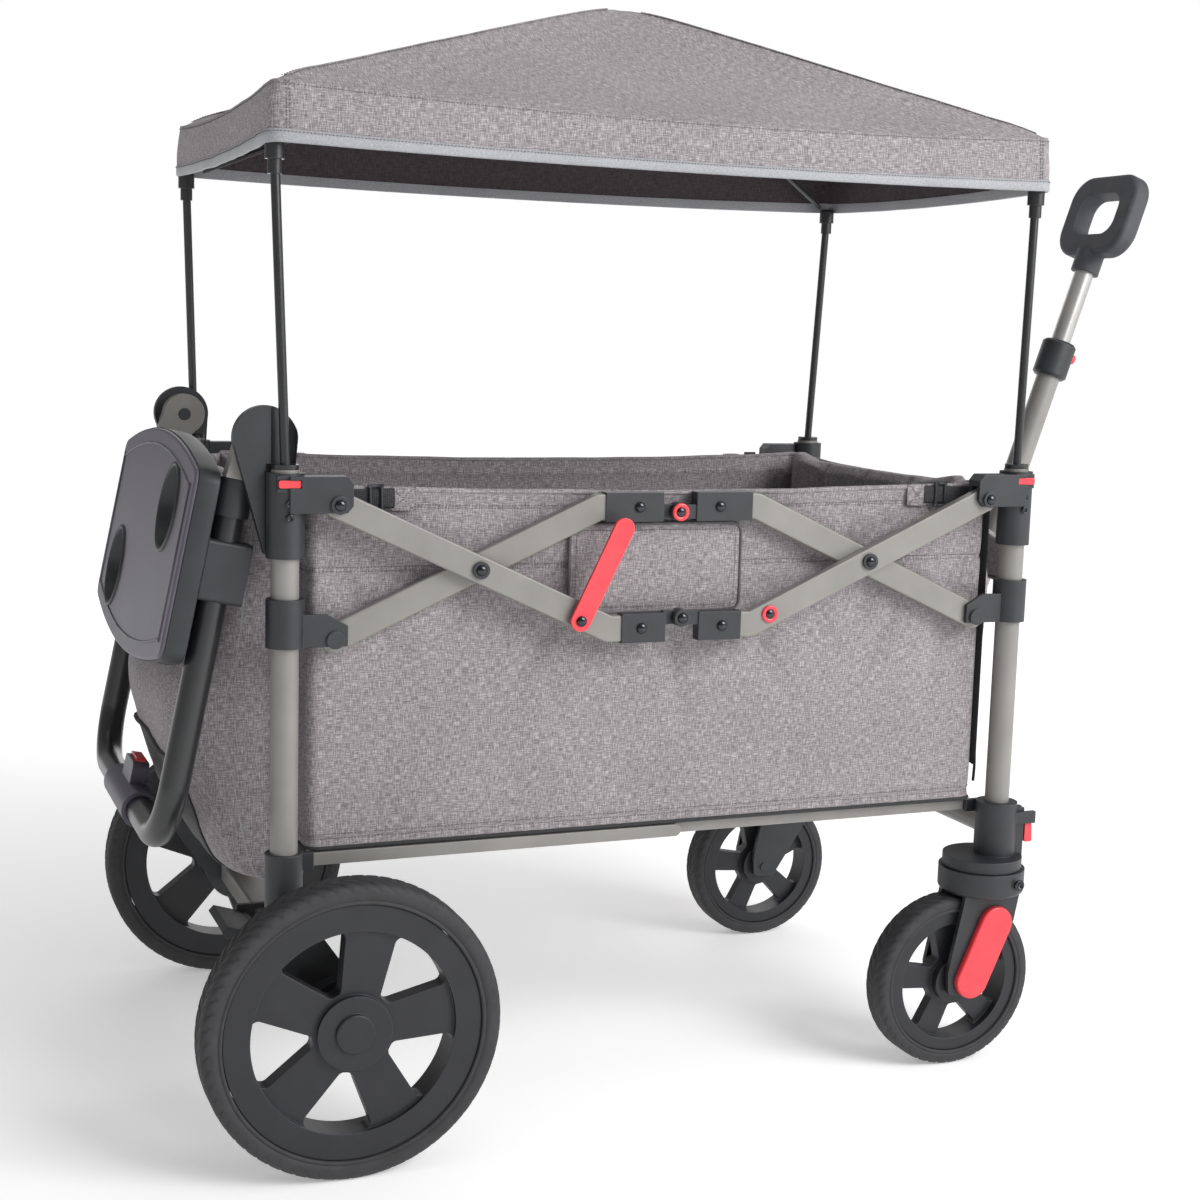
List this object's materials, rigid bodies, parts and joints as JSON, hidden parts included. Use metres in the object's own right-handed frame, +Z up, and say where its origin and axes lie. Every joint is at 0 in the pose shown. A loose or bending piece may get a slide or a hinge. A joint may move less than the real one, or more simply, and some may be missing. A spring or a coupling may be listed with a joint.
{
  "type": "folding kids pull wagon",
  "caption": "Folding wagon for children with fabric tub, canopy, scissor sides, push handle with cup tray, pull handle, large rear wheels and swivel front wheels",
  "frame": {"origin": "on the floor, below the middle of the whole wagon with its handles as stored", "axes": "+X forward to the pull handle, +Y to the wagon's left, +Z up"},
  "size_m": [1.296, 0.6936, 1.212],
  "materials": {
    "tube_grey": "powder coat, satin",
    "tube_black": "powder coat, satin",
    "black_plastic": "fine moulded texture",
    "grey_casting": "satin paint",
    "tray_plastic": "satin moulded",
    "red_plastic": "semi-gloss moulded",
    "tyre_rubber": "matte foamed rubber",
    "rim_plastic": "satin moulded",
    "grip_plastic": "soft-touch overmould",
    "melange_fabric": "woven polyester, linen look",
    "rib_glassfibre": "smooth rod"
  },
  "bodies": {
    "rear_frame": {"rear_posts": "tube_grey", "rear_top_brackets": "black_plastic", "handle_joint_housings": "black_plastic", "rear_canopy_poles": "tube_black", "rear_axle_castings": "black_plastic", "rear_axle_tube": "tube_grey", "canopy_fabric": "melange_fabric", "canopy_ribs": "rib_glassfibre", "tub_fabric": "melange_fabric", "floor_board": "melange_fabric", "rear_bag": "melange_fabric"},
    "bars_b": {"side_bars_b": "tube_grey", "rear_bottom_hinge": "black_plastic"},
    "bars_a": {"side_bars_a": "tube_grey", "rear_top_hinge": "black_plastic"},
    "bars_c": {"side_bars_c": "tube_grey", "front_top_hinge": "black_plastic"},
    "bars_d": {"side_bars_d": "tube_grey", "front_bottom_hinge": "black_plastic"},
    "rear_slider_pair": {"rear_sliders": "black_plastic"},
    "front_slider_pair": {"front_sliders": "black_plastic"},
    "rear_rail_pair": {"rear_rails": "tube_grey"},
    "front_rail_pair": {"front_rails": "tube_grey"},
    "front_frame": {"front_posts": "tube_grey", "front_top_brackets": "black_plastic", "front_canopy_poles": "tube_black", "front_feet": "black_plastic", "front_crossbar": "tube_grey", "front_pocket": "melange_fabric"},
    "push_handle": {"handle_arms": "grey_casting", "handle_clamps": "black_plastic", "handle_tube": "tube_black", "handle_center_cover": "black_plastic", "tray": "tray_plastic"},
    "handle_release": {"handle_button": "red_plastic"},
    "pull_handle": {"pull_lower_tube": "tube_grey", "pull_collar": "black_plastic"},
    "collar_release": {"collar_button": "black_plastic"},
    "pull_extension": {"pull_upper_tube": "tube_grey", "pull_grip": "grip_plastic"},
    "rear_right_wheel": {"rear_right_tyre": "tyre_rubber", "rear_right_rim": "rim_plastic"},
    "rear_left_wheel": {"rear_left_tyre": "tyre_rubber", "rear_left_rim": "rim_plastic"},
    "brake": {"brake_pedal": "black_plastic"},
    "right_caster": {"right_caster_fork": "black_plastic"},
    "left_caster": {"left_caster_fork": "black_plastic"},
    "front_right_wheel": {"front_right_tyre": "tyre_rubber", "front_right_rim": "rim_plastic"},
    "front_left_wheel": {"front_left_tyre": "tyre_rubber", "front_left_rim": "rim_plastic"},
    "right_caster_stop": {"right_caster_brake": "red_plastic"},
    "left_caster_stop": {"left_caster_brake": "red_plastic"},
    "right_latch": {"right_foot_latch": "red_plastic"},
    "left_latch": {"left_foot_latch": "red_plastic"},
    "rear_right_release": {"rear_right_canopy_button": "red_plastic"},
    "rear_left_release": {"rear_left_canopy_button": "red_plastic"},
    "front_right_release": {"front_right_canopy_button": "red_plastic"},
    "front_left_release": {"front_left_canopy_button": "red_plastic"},
    "lever": {"fold_lever": "red_plastic"}
  },
  "joints": [
    {"name": "fold", "type": "hinge", "parent": "rear_frame", "child": "bars_b", "pos_m": [-0.46417, 0, 0.6685], "axis": [0, 1, 0], "range_deg": [0, 60], "deforming": ["tub_fabric", "floor_board", "canopy_fabric", "canopy_ribs"]},
    {"name": "rear_crossing", "type": "hinge", "parent": "bars_b", "child": "bars_a", "pos_m": [-0.31567, 0, 0.6005], "axis": [0, 1, 0], "range_deg": [-120, 0]},
    {"name": "top_hinge", "type": "hinge", "parent": "bars_a", "child": "bars_c", "pos_m": [-0.08917, 0, 0.6565], "axis": [0, 1, 0], "range_deg": [0, 120]},
    {"name": "front_crossing", "type": "hinge", "parent": "bars_c", "child": "bars_d", "pos_m": [0.13733, 0, 0.6005], "axis": [0, 1, 0], "range_deg": [-120, 0]},
    {"name": "front_bracket_pin", "type": "hinge", "parent": "bars_d", "child": "front_frame", "pos_m": [0.28583, 0, 0.6685], "axis": [0, 1, 0], "range_deg": [0, 60]},
    {"name": "rear_slider_pin", "type": "hinge", "parent": "bars_a", "child": "rear_slider_pair", "pos_m": [-0.46417, 0, 0.5325], "axis": [0, 1, 0], "range_deg": [0, 60]},
    {"name": "front_slider_pin", "type": "hinge", "parent": "bars_c", "child": "front_slider_pair", "pos_m": [0.28583, 0, 0.5325], "axis": [0, 1, 0], "range_deg": [-60, 0]},
    {"name": "rear_rail_pin", "type": "hinge", "parent": "rear_frame", "child": "rear_rail_pair", "pos_m": [-0.48917, 0, 0.303], "axis": [0, 1, 0], "range_deg": [-88, 0]},
    {"name": "rail_knee", "type": "hinge", "parent": "rear_rail_pair", "child": "front_rail_pair", "pos_m": [-0.11317, 0, 0.303], "axis": [0, 1, 0], "range_deg": [0, 151]},
    {"name": "push_handle_pivot", "type": "hinge", "parent": "rear_frame", "child": "push_handle", "pos_m": [-0.53117, 0, 0.732], "axis": [0, 1, 0], "range_deg": [0, 125]},
    {"name": "handle_button_press", "type": "slide", "parent": "push_handle", "child": "handle_release", "axis": [-0.1994, 0, -0.9799], "range_m": [0, 0.003], "stiffness_N_per_m": 400},
    {"name": "pull_handle_pivot", "type": "hinge", "parent": "front_frame", "child": "pull_handle", "pos_m": [0.37523, 0, 0.29], "axis": [0, 1, 0], "range_deg": [0, 70]},
    {"name": "pull_extend", "type": "slide", "parent": "pull_handle", "child": "pull_extension", "axis": [0.3223, 0, 0.9466], "range_m": [-0.09, 0.12]},
    {"name": "collar_button_press", "type": "slide", "parent": "pull_handle", "child": "collar_release", "axis": [-0.9466, 0, 0.3223], "range_m": [0, 0.0025], "stiffness_N_per_m": 400},
    {"name": "rear_right_spin", "type": "hinge", "parent": "rear_frame", "child": "rear_right_wheel", "pos_m": [-0.46117, -0.3245, 0.1524], "axis": [0, 1, 0], "continuous": true},
    {"name": "rear_left_spin", "type": "hinge", "parent": "rear_frame", "child": "rear_left_wheel", "pos_m": [-0.46117, 0.3245, 0.1524], "axis": [0, 1, 0], "continuous": true},
    {"name": "brake_press", "type": "hinge", "parent": "rear_frame", "child": "brake", "pos_m": [-0.49517, 0, 0.1564], "axis": [0, 1, 0], "range_deg": [-20, 0]},
    {"name": "right_swivel", "type": "hinge", "parent": "front_frame", "child": "right_caster", "pos_m": [0.31883, -0.2515, 0.235], "axis": [0, 0, 1], "continuous": true},
    {"name": "front_right_spin", "type": "hinge", "parent": "right_caster", "child": "front_right_wheel", "pos_m": [0.27983, -0.2515, 0.1014], "axis": [0, 1, 0], "continuous": true},
    {"name": "right_caster_brake_slide", "type": "slide", "parent": "right_caster", "child": "right_caster_stop", "axis": [-0.4019, 0, -0.9157], "range_m": [0, 0.008]},
    {"name": "right_latch_pivot", "type": "hinge", "parent": "front_frame", "child": "right_latch", "pos_m": [0.37383, -0.2515, 0.291], "axis": [0, 1, 0], "range_deg": [-60, 0]},
    {"name": "rear_right_button_press", "type": "slide", "parent": "rear_frame", "child": "rear_right_release", "axis": [0, 1, 0], "range_m": [0, 0.002], "stiffness_N_per_m": 300},
    {"name": "front_right_button_press", "type": "slide", "parent": "front_frame", "child": "front_right_release", "axis": [0, 1, 0], "range_m": [0, 0.002], "stiffness_N_per_m": 300},
    {"name": "left_swivel", "type": "hinge", "parent": "front_frame", "child": "left_caster", "pos_m": [0.31883, 0.2515, 0.235], "axis": [0, 0, 1], "continuous": true},
    {"name": "front_left_spin", "type": "hinge", "parent": "left_caster", "child": "front_left_wheel", "pos_m": [0.27983, 0.2515, 0.1014], "axis": [0, 1, 0], "continuous": true},
    {"name": "left_caster_brake_slide", "type": "slide", "parent": "left_caster", "child": "left_caster_stop", "axis": [-0.4019, 0, -0.9157], "range_m": [0, 0.008]},
    {"name": "left_latch_pivot", "type": "hinge", "parent": "front_frame", "child": "left_latch", "pos_m": [0.37383, 0.2515, 0.291], "axis": [0, 1, 0], "range_deg": [-60, 0]},
    {"name": "rear_left_button_press", "type": "slide", "parent": "rear_frame", "child": "rear_left_release", "axis": [0, -1, 0], "range_m": [0, 0.002], "stiffness_N_per_m": 300},
    {"name": "front_left_button_press", "type": "slide", "parent": "front_frame", "child": "front_left_release", "axis": [0, -1, 0], "range_m": [0, 0.002], "stiffness_N_per_m": 300},
    {"name": "lever_pivot", "type": "hinge", "parent": "bars_b", "child": "lever", "pos_m": [-0.20817, -0.275, 0.546], "axis": [0, 1, 0], "range_deg": [-20, 64]}
  ],
  "couplings": [
    {"joint": "rear_crossing", "follows": "fold", "ratio": -2},
    {"joint": "top_hinge", "follows": "fold", "ratio": 2},
    {"joint": "front_crossing", "follows": "fold", "ratio": -2},
    {"joint": "front_bracket_pin", "follows": "fold", "ratio": 1},
    {"joint": "rear_slider_pin", "follows": "fold", "ratio": 1},
    {"joint": "front_slider_pin", "follows": "fold", "ratio": -1},
    {"joint": "rear_rail_pin", "follows": "fold", "ratio": -1.465},
    {"joint": "rail_knee", "follows": "fold", "ratio": 2.505}
  ]
}
